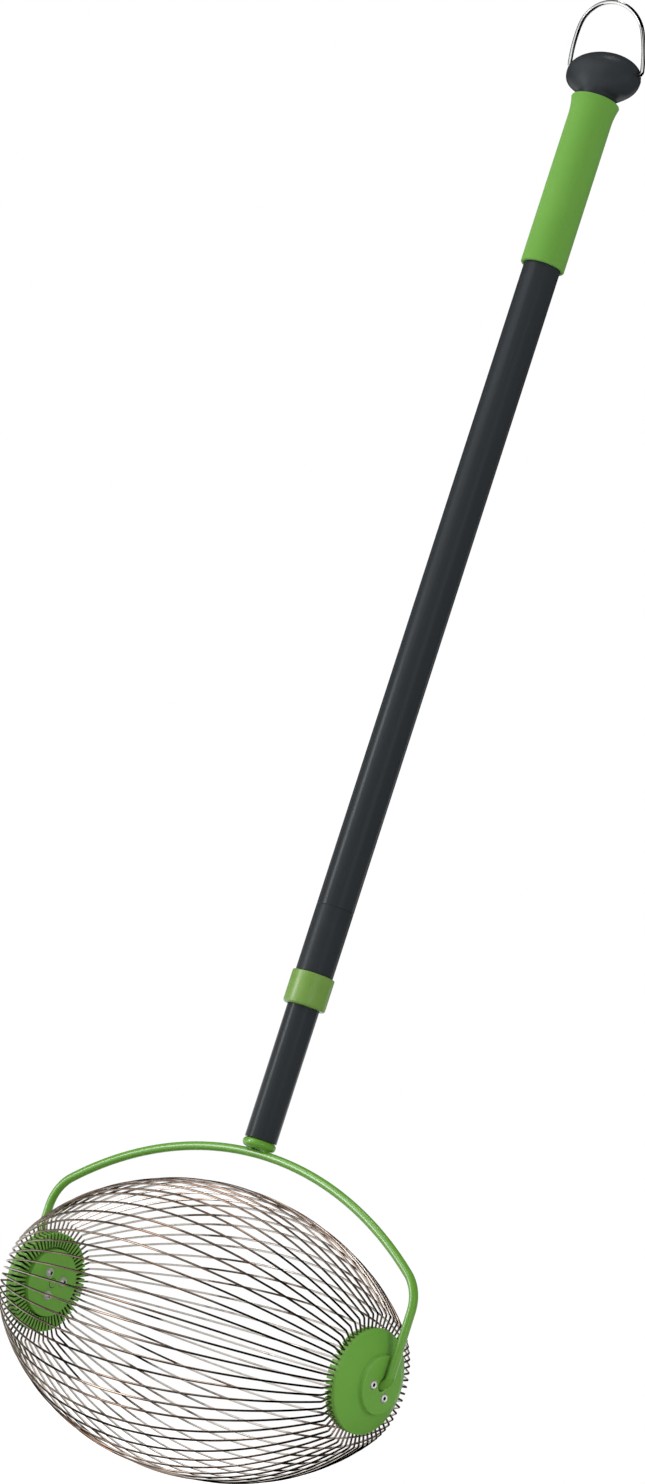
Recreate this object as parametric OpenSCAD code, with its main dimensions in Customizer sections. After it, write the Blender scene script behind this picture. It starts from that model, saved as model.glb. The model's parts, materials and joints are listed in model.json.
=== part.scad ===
// Nut gatherer: a wire cage that rolls on the ground, carried by a yoke on a telescopic pole.
// Millimetres. The pole runs along +Z, the axle along X, and the cage stands on z = 0 under the axle's middle.

/* [Cage] */
// Radius of the cage at its middle, to the centre of a wire
cage_radius = 97; // [85:0.5:115]
// Half the cage's length, from its middle to the plane of the wire ends
cage_half = 145; // [125:0.5:170]
// Number of wires round the cage
wire_count = 60; // [42:6:66]
// Thickness of a wire
wire_d = 1.2; // [1:0.1:1.8]
// Radius at which a wire turns in towards its hub
shoulder_radius = 43.4; // [41:0.2:52]

/* [Hubs] */
// Outer radius of a hub
hub_radius = 34.6; // [33.6:0.1:39]
// How far the hub's rim stands out past the wire ends
rim_height = 3.2; // [2.6:0.1:4.5]
// Height of the dome, where it meets the boss
dome_height = 10.4; // [9:0.1:13]
// Radius of the raised boss
boss_radius = 19; // [16:0.5:22]
// Height of the boss above the dome
boss_height = 3.4; // [2.8:0.1:4.2]
// Thickness of the dome's wall
dome_wall = 2.6; // [2:0.1:3.4]
// How far the ribs between the wires stand in towards the cage
rib_height = 5; // [4:0.1:6]
// Radius of the ribs' inner ends
rib_radius = 24.5; // [24:0.1:27]
// Radius of the inner plate
plate_radius = 23.4; // [22.6:0.1:23.6]
// Thickness of the inner plate
plate_thick = 2.6; // [2:0.1:3.2]
// Width of the plate's ring that presses on the wire ends
plate_ring = 3; // [2.4:0.1:4]
// Radius of the axle bush
bush_radius = 4.6; // [4.3:0.05:4.8]

/* [Hub screws] */
// Screws in each hub
screw_count = 3; // [3:1:4]
// Radius of the circle of screws
screw_circle = 9.2; // [9:0.1:10.5]
// Thickness of a screw's shank
screw_d = 3.8; // [3:0.1:4]
// Width of a screw's head
screw_head_d = 6; // [5.2:0.1:6.2]
// Height of a screw's head
screw_head_height = 2; // [1.6:0.1:2.1]
// Width of the socket, corner to corner
socket_d = 3; // [2.4:0.1:3.4]
// Depth of the socket
socket_depth = 1.2; // [0.8:0.1:1.4]
// Width of a domed nut
nut_d = 6.6; // [6:0.1:7]
// Height of a domed nut
nut_height = 2.8; // [2.5:0.1:3.4]
// Turn of the right hub's screws from the upright
screw_turn_right = 98; // [0:1:120]
// Turn of the left hub's screws from the upright
screw_turn_left = 71; // [0:1:120]

/* [Yoke] */
// Thickness of the yoke's rod
rod_d = 6; // [5:0.1:6.6]
// Height of the yoke's top above the axle
yoke_height = 121.7; // [116:0.5:145]
// Gap between each hub's boss and the yoke's leg
leg_gap = 1.2; // [1:0.1:6]
// Radius of the yoke's long arch
arch_radius = 258; // [230:1:300]
// Radius of the yoke's shoulders
corner_radius = 28; // [20:0.5:40]
// Radius of the bend at each axle stub
stub_bend = 7; // [6.5:0.1:7.2]
// Radius of the round button under the pole
ferrule_radius = 11.5; // [11.2:0.1:13]
// Height of the button
ferrule_height = 6.25; // [5:0.05:9]
// Length of its spigot in the tube
ferrule_spigot = 28; // [20:1:40]
// Size of a weld bead
bead_d = 3.6; // [3:0.1:4.4]
// How far the first bead is from the pole's centre
bead_from = 5.4; // [4.5:0.1:6.5]
// Distance between beads
bead_pitch = 2.2; // [1.8:0.1:2.6]

/* [Pole] */
// Thickness of the lower tube
lower_d = 22.2; // [20:0.1:22.4]
// Thickness of the upper tube
upper_d = 26; // [25.8:0.1:30]
// Wall of both tubes
tube_wall = 1; // [0.8:0.05:1.05]
// Length of the lower tube
lower_length = 520; // [460:5:600]
// How much of the lower tube shows below the collar
lower_showing = 93.7; // [60:0.5:150]
// Length of the upper tube
upper_length = 597; // [560:1:680]
// Length of the guide bush on the lower tube's end
guide_length = 20; // [15:0.5:30]
// Depth of the groove that holds the guide bush
groove_depth = 0.4; // [0.3:0.05:0.5]
// Width of that groove
groove_width = 3; // [2.4:0.1:4]

/* [Lock] */
// Thickness of the twist collar
collar_d = 29.4; // [29:0.1:34]
// Length of the twist collar
collar_length = 22.9; // [20:0.1:30]
// Rounding of the collar's lower edge
collar_round = 1.4; // [0.8:0.1:1.8]
// Length of the lock sleeve that shows above the collar
sleeve_length = 46.9; // [40:0.5:60]
// Length of the sleeve's spigot in the upper tube
sleeve_spigot = 26; // [20:1:40]
// Wall of the sleeve's nose inside the collar
nose_wall = 1.4; // [1.2:0.05:1.6]
// Length of the split lock ring
ring_length = 6; // [5:0.1:8]
// Width of the ring's slit
ring_slit = 1.6; // [1:0.1:3]

/* [Grip and knob] */
// Thickness of the grip
grip_d = 31.3; // [30:0.1:36]
// Thickness of the grip's flared top
flare_d = 35.2; // [34:0.1:40]
// Length of the grip
grip_length = 126.2; // [100:0.5:160]
// Length of the flare
flare_length = 14; // [10:0.5:20]
// Rounding of the grip's lips
grip_round = 1.6; // [1:0.1:2]
// Half the knob's length
knob_half = 28.4; // [27.4:0.1:32]
// Radius of the knob's middle
knob_radius = 16.6; // [16:0.1:20]
// Height of the knob's centre above the grip
knob_rise = 20; // [18:0.1:22]
// Radius of the knob's neck
neck_radius = 14; // [13.4:0.1:14.4]
// Length of the knob's spigot in the upper tube
knob_spigot = 34; // [25:1:45]
// Turn of the knob and its bail about the pole
knob_turn = 10; // [-45:1:45]

/* [Bail] */
// Thickness of the bail's wire
bail_d = 3; // [2.4:0.1:3.2]
// Reach of the bail's wire past the knob's ends
bail_out = 0.4; // [0:0.1:0.8]
// Height of the bail above its pivot
bail_height = 48; // [44:0.5:60]
// Radius of the bail's crown
bail_crown = 26; // [22:0.5:27]
// Bend radius at the bail's feet
bail_bend = 2.4; // [2:0.1:2.6]
// Height of the pivot above the knob's centre
pivot_rise = 3.5; // [3:0.1:4.4]
// Length of the bail's pivot pins
pin_length = 7.5; // [5:0.5:9]
// Depth of the knob's side notches below the pivot
notch_depth = 3; // [2.6:0.1:4]
// Lean of the bail from the pole
bail_lean = 21; // [0:1:60]

/* [Hidden] */
// Running clearance between turning or sliding faces
run_fit = 0.1;
// Clearance of the axle in its bush, and of the bail in its knob
pin_fit = 0.15;
// Clearance between pieces that are fixed together
seat_fit = 0.05;
// Clearance round a wire in its slot
wire_fit = 0.15;
// Clearance between moving pieces that don't bear on each other
free_fit = 0.3;
// Overrun of a cut past the face that it leaves
over = 1;
// Steps in a turned curve
arc_steps = 12;
// Size of the ball in a bar's joint, as a share of the bar
ball_share = 1.02;
// How far a bar stops short of its joint's centre, as a share of the bar
short_share = 0.05;
// Wire groups round the cage
wire_groups = 6;
$fn = 72;

axle_z = cage_radius + wire_d / 2;
cage_sag = cage_radius - shoulder_radius;
cage_arc = (cage_half * cage_half + cage_sag * cage_sag) / (2 * cage_sag);
cage_turn = asin(cage_half / cage_arc);
slot_floor = wire_d / 2 + run_fit;
ring_inner = plate_radius - plate_ring;
wire_foot = ring_inner + seat_fit;
ledge_radius = ring_inner - plate_ring / 2;
face_w = dome_height + boss_height;
plate_w = -rib_height + seat_fit;
inner_w = plate_w - plate_thick;
bore_r = rod_d / 2 + pin_fit;
sleeve_r = bush_radius + dome_wall * 2 / 3;
sleeve_end = plate_w + free_fit;
dome_c = (pow(hub_radius, 2) + pow(rim_height, 2) - pow(boss_radius, 2) - pow(dome_height, 2))
    / (2 * (rim_height - dome_height));
dome_r = sqrt(pow(hub_radius, 2) + pow(rim_height - dome_c, 2));
sink_depth = rod_d / 2;
sink_share = 0.82;
rim_lip = rim_height / 3;
boss_edge = boss_height / 5;
head_proud = screw_head_height / 4;
head_floor = face_w + head_proud - screw_head_height;
screw_hole = screw_d / 2 + run_fit;
pillar_r = screw_d / 2 + dome_wall * 3 / 4;
pillar_top = (dome_height + face_w) / 2;
nut_bore_share = 0.62;

yoke_half = cage_half + face_w + leg_gap + rod_d / 2;
ferrule_z = yoke_height + rod_d / 2 + seat_fit;
lower_z = ferrule_z + ferrule_height;
lower_top = lower_z + lower_length;
lower_r = lower_d / 2;
upper_r = upper_d / 2;
upper_in = upper_r - tube_wall;
lower_in = lower_r - tube_wall;
slide_r = lower_r + run_fit;
guide_r = upper_in - run_fit;
groove_z = lower_top - guide_length / 2;
rib_share = 0.6;
guide_lid = guide_length / 10;
collar_z = lower_z + lower_showing;
collar_top = collar_z + collar_length;
joint_z = collar_top + sleeve_length;
upper_top = joint_z + upper_length;
nose_r = slide_r + nose_wall;
collar_in = nose_r + run_fit;
collar_lip = ring_length / 3;
ring_z = collar_z + collar_lip + free_fit;
nose_z = ring_z + ring_length + free_fit;
grip_z = upper_top - grip_length;
grip_in = upper_r + seat_fit;
grip_r = grip_d / 2;
flare_r = flare_d / 2;
knob_z = upper_top + knob_rise;
pivot_z = knob_z + pivot_rise;
bail_half = knob_half + bail_out;
notch_x = bail_half - bail_bend - 2 * free_fit;
bail_side = (pow(bail_half, 2) + pow(bail_height - bail_crown - bail_bend, 2) - pow(bail_crown, 2))
    / (2 * (bail_half - bail_crown));
bail_turn = atan2(bail_height - bail_crown - bail_bend, bail_side - bail_half);

green = [0.36, 0.58, 0.24];
dark = [0.19, 0.21, 0.22];
steel = [0.38, 0.34, 0.31];
bright = [0.78, 0.78, 0.77];
pale = [0.82, 0.82, 0.78];

// Points along an arc, from one angle to another
function arc_points(centre, r, from, to) = [
    for (i = [0 : arc_steps])
        let (a = from + (to - from) * i / arc_steps)
        [centre[0] + r * cos(a), centre[1] + r * sin(a)]
];

// A solid of revolution from its half outline
module turned(outline) {
    rotate_extrude()
        polygon(outline);
}

// A round bar bent along an arc in the XZ plane, with angles counted from +X to +Z, between two joints
module bent_bar(r, d, from, sweep) {
    short = d * short_share / r * 180 / PI;
    rotate([90, 0, 0])
        rotate([0, 0, from + short])
            rotate_extrude(angle = sweep - 2 * short)
                translate([r, 0])
                    circle(d = d);
}

// A straight round bar along +Z from a free end to a joint, or between two joints
module straight_bar(d, length, joints) {
    short = d * short_share;
    translate([0, 0, (joints - 1) * short])
        cylinder(d = d, h = length - joints * short);
}

// The round joint between two bars
module joint_ball(d) {
    sphere(d = d * ball_share);
}

// Lifts what is drawn about the axle to its height above the ground
module at_axle() {
    translate([0, 0, axle_z])
        children();
}

// Turns a hub's own frame to the right end: its Z points out along the axle and its X points up
module right_end() {
    translate([cage_half, 0, axle_z])
        rotate([0, 90, 0])
            rotate([0, 0, 180])
                children();
}

// The same for the left end
module left_end() {
    translate([-cage_half, 0, axle_z])
        rotate([0, -90, 0])
            children();
}

// Puts a piece at each screw of a hub
module at_screws(turn) {
    for (i = [0 : screw_count - 1])
        rotate([0, 0, turn + i * 360 / screw_count])
            translate([screw_circle, 0, 0])
                children();
}

// A spring wire in a plane through the axle: a long arch with both ends turned in towards the hubs
module cage_wire() {
    translate([0, 0, cage_radius - cage_arc])
        bent_bar(cage_arc, wire_d, 90 - cage_turn, 2 * cage_turn);
    for (side = [-1, 1]) {
        translate([side * cage_half, 0, wire_foot])
            straight_bar(wire_d, shoulder_radius - wire_foot, 1);
        translate([side * cage_half, 0, shoulder_radius])
            joint_ball(wire_d);
    }
}

// One group of neighbouring wires
module wire_group(group) {
    share = wire_count / wire_groups;
    color(steel)
        at_axle()
            for (i = [group * share : (group + 1) * share - 1])
                rotate([i * 360 / wire_count, 0, 0])
                    cage_wire();
}

module cage_wires_a() {
    wire_group(0);
}

module cage_wires_b() {
    wire_group(1);
}

module cage_wires_c() {
    wire_group(2);
}

module cage_wires_d() {
    wire_group(3);
}

module cage_wires_e() {
    wire_group(4);
}

module cage_wires_f() {
    wire_group(5);
}

// Domed cup: a slotted rim for the wires, a boss for the axle and pillars for the screws
module hub_cup(turn) {
    inner_r = dome_r - dome_wall;
    low = asin((rim_height - dome_c) / dome_r);
    high = asin((dome_height - dome_c) / dome_r);
    difference() {
        union() {
            turned(concat(
                [[rib_radius, -rib_height], [hub_radius, -rib_height], [hub_radius, rim_height - rim_lip]],
                arc_points([0, dome_c], dome_r, low, high),
                [[boss_radius, face_w - boss_edge], [boss_radius - boss_edge, face_w]],
                [[bush_radius + seat_fit, face_w], [bush_radius + seat_fit, sleeve_end]],
                [[sleeve_r, sleeve_end], [sleeve_r, sqrt(pow(inner_r, 2) - pow(sleeve_r, 2)) + dome_c]],
                [[ledge_radius, sqrt(pow(inner_r, 2) - pow(ledge_radius, 2)) + dome_c]],
                [[ledge_radius, slot_floor], [rib_radius, slot_floor]]
            ));
            difference() {
                at_screws(turn)
                    translate([0, 0, plate_w + seat_fit])
                        cylinder(r = pillar_r, h = pillar_top - plate_w - seat_fit);
                translate([0, 0, plate_w])
                    cylinder(r = bush_radius + seat_fit, h = face_w - plate_w);
            }
        }
        for (i = [0 : wire_count - 1])
            rotate([0, 0, i * 360 / wire_count])
                translate([rib_radius - over, -wire_d / 2 - wire_fit, -rib_height - over])
                    cube([hub_radius - rib_radius + 2 * over, wire_d + 2 * wire_fit, rib_height + over + slot_floor]);
        at_screws(turn) {
            translate([0, 0, plate_w])
                cylinder(r = screw_hole, h = face_w - plate_w + over);
            translate([0, 0, head_floor])
                cylinder(r = screw_head_d / 2 + run_fit, h = face_w - head_floor + over);
        }
    }
}

module hub_cup_left() {
    color(green)
        left_end()
            hub_cup(screw_turn_left);
}

module hub_cup_right() {
    color(green)
        right_end()
            hub_cup(screw_turn_right);
}

// Inner plate, with a ring that presses the wire ends against the cup
module hub_plate(turn) {
    press_w = -wire_d / 2 - run_fit;
    difference() {
        turned([
            [bore_r + free_fit, inner_w], [plate_radius - plate_thick / 4, inner_w],
            [plate_radius, inner_w + plate_thick / 4], [plate_radius, press_w], [ring_inner, press_w],
            [ring_inner, plate_w], [bore_r + free_fit, plate_w]
        ]);
        at_screws(turn)
            translate([0, 0, inner_w - over])
                cylinder(r = screw_hole, h = plate_thick + 2 * over);
    }
}

module hub_plate_left() {
    color(green)
        left_end()
            hub_plate(screw_turn_left);
}

module hub_plate_right() {
    color(green)
        right_end()
            hub_plate(screw_turn_right);
}

// Socket-head screw, sunk in the boss
module hub_screw() {
    difference() {
        union() {
            translate([0, 0, head_floor])
                cylinder(d = screw_head_d, h = screw_head_height);
            translate([0, 0, inner_w - nut_height * nut_bore_share])
                cylinder(d = screw_d, h = head_floor - inner_w + nut_height * nut_bore_share);
        }
        translate([0, 0, head_floor + screw_head_height - socket_depth])
            cylinder(d = socket_d, h = socket_depth + over, $fn = 6);
    }
}

module hub_screws_left() {
    color(bright)
        left_end()
            at_screws(screw_turn_left)
                hub_screw();
}

module hub_screws_right() {
    color(bright)
        right_end()
            at_screws(screw_turn_right)
                hub_screw();
}

// Domed nut on the inner plate
module hub_nut() {
    base = nut_height / 3;
    dome = nut_height - base;
    curve = (pow(nut_d / 2, 2) + pow(dome, 2)) / (2 * dome);
    bore = screw_d / 2 + seat_fit;
    bore_end = inner_w - nut_height * nut_bore_share - seat_fit;
    translate([0, 0, inner_w])
        mirror([0, 0, 1])
            turned(concat(
                [[bore, 0], [nut_d / 2, 0], [nut_d / 2, base]],
                arc_points([0, nut_height - curve], curve, asin((base - nut_height + curve) / curve), 90),
                [[0, inner_w - bore_end], [bore, inner_w - bore_end]]
            ));
}

module hub_nuts_left() {
    color(bright)
        left_end()
            at_screws(screw_turn_left)
                hub_nut();
}

module hub_nuts_right() {
    color(bright)
        right_end()
            at_screws(screw_turn_right)
                hub_nut();
}

// Bush in which an axle stub turns, opened at its mouth for the rod's bend
module axle_bush() {
    turned([
        [bore_r, plate_w + seat_fit], [bush_radius, plate_w + seat_fit], [bush_radius, face_w],
        [bore_r + (bush_radius - bore_r) * sink_share, face_w], [bore_r, face_w - sink_depth]
    ]);
}

module axle_bush_left() {
    color(green)
        left_end()
            axle_bush();
}

module axle_bush_right() {
    color(green)
        right_end()
            axle_bush();
}

// Yoke: one rod, bowed over the cage and turned in at both ends to make the axle stubs
module yoke_rod() {
    stub_from = cage_half + inner_w;
    stub_to = yoke_half - stub_bend;
    reach = yoke_half - corner_radius;
    rise = sqrt(pow(arch_radius - corner_radius, 2) - pow(reach, 2));
    turn = atan2(reach, rise);
    arch_z = yoke_height - arch_radius;
    color(green)
        at_axle() {
            translate([0, 0, arch_z])
                bent_bar(arch_radius, rod_d, 90 - turn, 2 * turn);
            for (side = [0, 180])
                rotate([0, 0, side]) {
                    translate([arch_radius * sin(turn), 0, arch_z + arch_radius * cos(turn)])
                        joint_ball(rod_d);
                    translate([reach, 0, arch_z + rise])
                        bent_bar(corner_radius, rod_d, 0, 90 - turn);
                    translate([yoke_half, 0, arch_z + rise])
                        joint_ball(rod_d);
                    translate([yoke_half, 0, stub_bend])
                        straight_bar(rod_d, arch_z + rise - stub_bend, 2);
                    translate([yoke_half, 0, stub_bend])
                        joint_ball(rod_d);
                    translate([stub_to, 0, stub_bend])
                        bent_bar(stub_bend, rod_d, -90, 90);
                    translate([stub_to, 0, 0])
                        joint_ball(rod_d);
                    translate([stub_from, 0, 0])
                        rotate([0, 90, 0])
                            straight_bar(rod_d, stub_to - stub_from, 1);
                }
        }
}

// Round button welded on the yoke, with a spigot in the lower tube
module yoke_ferrule() {
    round = ferrule_height / 2;
    color(green)
        at_axle()
            turned(concat(
                [[0, ferrule_z]],
                arc_points([ferrule_radius - round, ferrule_z + round], round, -90, 90),
                [[lower_in - seat_fit, lower_z], [lower_in - seat_fit, lower_z + ferrule_spigot]],
                [[0, lower_z + ferrule_spigot]]
            ));
}

// Weld beads on both sides of the pole, between rod and button
module yoke_weld() {
    color(green)
        at_axle()
            for (side = [-1, 1])
                for (i = [0 : 1])
                    translate([side * (bead_from + i * bead_pitch), 0, ferrule_z])
                        sphere(d = bead_d);
}

// Lower tube, grooved near its top for the guide bush
module lower_tube() {
    color(dark)
        at_axle()
            turned([
                [lower_in, lower_z], [lower_r, lower_z], [lower_r, groove_z - groove_width / 2],
                [lower_r - groove_depth, groove_z - groove_width / 2],
                [lower_r - groove_depth, groove_z + groove_width / 2],
                [lower_r, groove_z + groove_width / 2], [lower_r, lower_top], [lower_in, lower_top]
            ]);
}

// Guide bush: runs in the upper tube and turns on the lower one
module guide_bush() {
    rib = groove_width * rib_share / 2;
    rib_r = slide_r - groove_depth;
    color(pale)
        at_axle()
            turned([
                [slide_r, lower_top - guide_length], [guide_r, lower_top - guide_length],
                [guide_r, lower_top + guide_lid], [lower_in - tube_wall, lower_top + guide_lid],
                [lower_in - tube_wall, lower_top + run_fit], [slide_r, lower_top + run_fit],
                [slide_r, groove_z + rib], [rib_r, groove_z + rib], [rib_r, groove_z - rib],
                [slide_r, groove_z - rib]
            ]);
}

// Lock sleeve: flush with the upper tube, with a spigot in it and a nose inside the collar
module lock_sleeve() {
    color(dark)
        at_axle()
            turned([
                [slide_r, nose_z], [nose_r, nose_z], [nose_r, collar_top + free_fit],
                [upper_r, collar_top + free_fit], [upper_r, joint_z - seat_fit],
                [upper_in - seat_fit, joint_z - seat_fit], [upper_in - seat_fit, joint_z + sleeve_spigot],
                [slide_r, joint_z + sleeve_spigot]
            ]);
}

// Split ring that the collar squeezes on the lower tube
module lock_ring() {
    color(pale)
        at_axle()
            difference() {
                turned([
                    [slide_r, ring_z], [nose_r - free_fit - nose_wall / 4, ring_z],
                    [nose_r - free_fit, ring_z + ring_length], [slide_r, ring_z + ring_length]
                ]);
                translate([0, -ring_slit / 2, ring_z - over])
                    cube([nose_r + over, ring_slit, ring_length + 2 * over]);
            }
}

// Twist collar, rounded at its lower edge
module twist_collar() {
    r = collar_d / 2;
    edge = collar_round / 2;
    color(green)
        at_axle()
            turned(concat(
                [[lower_r + free_fit, collar_z]],
                arc_points([r - collar_round, collar_z + collar_round], collar_round, -90, 0),
                [[r, collar_top - edge], [r - edge, collar_top], [collar_in, collar_top]],
                [[collar_in, collar_z + collar_lip], [lower_r + free_fit, collar_z + collar_lip]]
            ));
}

// Upper tube
module upper_tube() {
    color(dark)
        at_axle()
            turned([
                [upper_in, joint_z], [upper_r, joint_z], [upper_r, upper_top], [upper_in, upper_top]
            ]);
}

// Soft grip with rounded lips and a flared top
module grip() {
    flare_z = upper_top - flare_length;
    curve = (pow(flare_length, 2) + pow(flare_r - grip_r, 2)) / (2 * (flare_r - grip_r));
    swing = asin((flare_length - grip_round) / curve);
    color(green)
        at_axle()
            turned(concat(
                [[grip_in, grip_z]],
                arc_points([grip_r - grip_round, grip_z + grip_round], grip_round, -90, 0),
                arc_points([grip_r + curve, flare_z], curve, 180, 180 - swing),
                [[flare_r - grip_round, upper_top], [grip_in, upper_top]]
            ));
}

// Oval knob: a body turned about X, a neck and a spigot, with notches and holes for the bail
module end_knob() {
    root_r = upper_in - seat_fit;
    neck_top = knob_z - knob_radius / 3;
    color(dark)
        at_axle()
            rotate([0, 0, knob_turn])
                difference() {
                    union() {
                        translate([0, 0, knob_z])
                            rotate([0, 90, 0])
                                turned([
                                    for (i = [0 : 2 * arc_steps])
                                        let (a = 90 - i * 90 / arc_steps)
                                        [knob_radius * cos(a), knob_half * sin(a)]
                                ]);
                        turned([
                            [0, upper_top - knob_spigot], [root_r, upper_top - knob_spigot],
                            [root_r, upper_top + seat_fit], [neck_radius, upper_top + seat_fit],
                            [neck_radius, neck_top], [0, neck_top]
                        ]);
                    }
                    for (side = [0, 180])
                        rotate([0, 0, side]) {
                            translate([notch_x, -knob_radius, pivot_z - notch_depth])
                                cube([knob_half, 2 * knob_radius, 2 * knob_radius]);
                            translate([notch_x - pin_length, 0, pivot_z])
                                rotate([0, 90, 0])
                                    cylinder(r = bail_d / 2 + pin_fit, h = pin_length + over);
                        }
                }
}

// Wire bail: a crown, two long sides, two feet and two pivot pins
module bail() {
    foot_x = bail_half - bail_bend;
    crown_z = bail_height - bail_crown;
    color(bright)
        at_axle()
            translate([0, 0, pivot_z])
                rotate([bail_lean, 0, knob_turn]) {
                    translate([0, 0, crown_z])
                        bent_bar(bail_crown, bail_d, bail_turn, 180 - 2 * bail_turn);
                    for (side = [0, 180])
                        rotate([0, 0, side]) {
                            translate([bail_crown * cos(bail_turn), 0, crown_z + bail_crown * sin(bail_turn)])
                                joint_ball(bail_d);
                            translate([bail_half - bail_side, 0, bail_bend])
                                bent_bar(bail_side, bail_d, 0, bail_turn);
                            translate([bail_half, 0, bail_bend])
                                joint_ball(bail_d);
                            translate([foot_x, 0, bail_bend])
                                bent_bar(bail_bend, bail_d, -90, 90);
                            translate([foot_x, 0, 0])
                                joint_ball(bail_d);
                            translate([foot_x - pin_length + free_fit, 0, 0])
                                rotate([0, 90, 0])
                                    straight_bar(bail_d, pin_length - free_fit, 1);
                        }
                }
}

cage_wires_a();
cage_wires_b();
cage_wires_c();
cage_wires_d();
cage_wires_e();
cage_wires_f();
hub_cup_left();
hub_cup_right();
hub_plate_left();
hub_plate_right();
hub_screws_left();
hub_screws_right();
hub_nuts_left();
hub_nuts_right();
axle_bush_left();
axle_bush_right();
yoke_rod();
yoke_ferrule();
yoke_weld();
lower_tube();
guide_bush();
lock_sleeve();
lock_ring();
twist_collar();
upper_tube();
grip();
end_knob();
bail();
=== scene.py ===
"""Looks of a rolling nut gatherer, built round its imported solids.

A barrel of spring wires turns between two moulded hubs. A coated rod yoke carries it on a telescopic
pole with a twist collar, a soft grip, an oval knob and a plated bail. Sizes are metres in the part's own
frame: +Z runs up the pole, +X along the axle, and the cage stands on z = 0 under the axle's middle.
"""

import json
import logging
import math
import random
from collections.abc import Callable, Mapping, Sequence
from dataclasses import dataclass, field
from enum import Enum

import bmesh
import bpy
from bmesh.types import BMesh, BMVert
from bpy.types import Material, Node, NodeSocket, NodeTree, Object
from mathutils import Matrix, Quaternion, Vector


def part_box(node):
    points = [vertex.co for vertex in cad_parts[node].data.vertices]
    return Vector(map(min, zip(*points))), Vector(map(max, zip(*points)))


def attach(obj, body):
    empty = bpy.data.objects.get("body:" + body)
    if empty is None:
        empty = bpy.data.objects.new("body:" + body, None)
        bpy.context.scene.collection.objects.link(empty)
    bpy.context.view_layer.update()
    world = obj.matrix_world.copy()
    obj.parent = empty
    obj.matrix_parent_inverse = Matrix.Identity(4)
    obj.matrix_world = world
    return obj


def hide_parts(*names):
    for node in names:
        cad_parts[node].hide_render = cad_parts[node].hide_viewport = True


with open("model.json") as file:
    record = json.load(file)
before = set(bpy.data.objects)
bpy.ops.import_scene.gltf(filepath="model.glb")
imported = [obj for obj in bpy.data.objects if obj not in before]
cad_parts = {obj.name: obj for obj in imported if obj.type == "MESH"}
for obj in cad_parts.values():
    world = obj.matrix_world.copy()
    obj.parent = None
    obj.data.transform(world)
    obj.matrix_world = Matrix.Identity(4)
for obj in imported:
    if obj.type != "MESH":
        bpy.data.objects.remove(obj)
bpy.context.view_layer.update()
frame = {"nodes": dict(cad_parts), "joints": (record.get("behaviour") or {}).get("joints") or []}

LOG = logging.getLogger("nut_gatherer")

Triple = tuple[float, float, float]
Value = float | Sequence[float] | NodeSocket
# A point of a line and the radius of its rounding, 0 for a point that stays as it is
Corner = tuple[Vector, float]
# Radius and height of a turned outline's corner, and its rounding where it has one
Edge = tuple[float, ...]

WHITE = (1.0, 1.0, 1.0, 1.0)
BLACK = (0.0, 0.0, 0.0, 1.0)
# Clear of zero by less than any real size, for tests on lengths and angles
TINY = 1e-7
# Steps round a rounded corner
ROUND_STEPS = 5
# Largest share of an edge that a rounding may take
ROUND_SHARE = 0.48
# Faces round a turned piece
TURNED_FACES = 96
# Edges that fold by more than this are drawn sharp
CREASE = math.radians(32.0)
# Places of the colour sockets on a mix node: share, both colours and the result
MIX_SHARE, MIX_ONE, MIX_OTHER, MIX_RESULT = 0, 6, 7, 2


class Side(Enum):
    """The two ends of the axle, with the direction that each points along it."""

    LEFT = -1
    RIGHT = 1

    @property
    def label(self) -> str:
        """The end's name as it stands in a node's name."""
        return self.name.lower()

    def matrix(self, axle: Vector, half: float) -> Matrix:
        """Takes a hub's own frame to this end: its Z points out along the axle and its X points up."""
        turn = Matrix(((0, 0, self.value), (0, -self.value, 0), (1, 0, 0))).to_4x4()
        return Matrix.Translation(axle + Vector((self.value * half, 0, 0))) @ turn


class Stretch(Enum):
    """How a pattern runs over a piece, as the scale of its three directions."""

    EVEN = (1.0, 1.0, 1.0)
    ALONG_POLE = (1.0, 1.0, 0.08)
    ALONG_AXLE = (0.06, 1.0, 1.0)


class Kind(Enum):
    """The kinds of socket on an effect's group."""

    VALUE = "NodeSocketFloat"
    TONE = "NodeSocketColor"
    WAY = "NodeSocketVector"


Sockets = tuple[tuple[str, Kind], ...]


def joint(name: str) -> dict:
    """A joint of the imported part, by its name in the record."""
    return next(found for found in frame["joints"] if found["name"] == name)


def joint_place(name: str) -> Vector:
    """A point on a joint's axis."""
    return Vector(joint(name)["pos_m"])


def joint_turn(name: str) -> Matrix:
    """The turn about the pole that brings the X axis to a joint's axis."""
    axis = Vector(joint(name)["axis"])
    return Matrix.Rotation(math.atan2(axis.y, axis.x), 4, "Z")


def flat(across: float, up: float) -> Vector:
    """A point in the XZ plane."""
    return Vector((across, 0, up))


def arc(centre: Vector, radius: float, start: float, end: float, steps: int) -> list[Vector]:
    """Points along an arc in the XZ plane, between angles in degrees from +X towards +Z."""
    angles = [math.radians(start + (end - start) * step / steps) for step in range(steps + 1)]
    return [centre + flat(radius * math.cos(a), radius * math.sin(a)) for a in angles]


def sharp(points: Sequence[Vector]) -> list[Edge]:
    """Points in the XZ plane as an outline's corners, with no rounding."""
    return [(point.x, point.z) for point in points]


def mirrored(right: list[Vector], top: list[Vector]) -> list[Vector]:
    """A line up its right side, over its top and down the mirror image of its right side."""
    left = [Vector((-point.x, point.y, point.z)) for point in reversed(right)]
    return right + top + left


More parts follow.
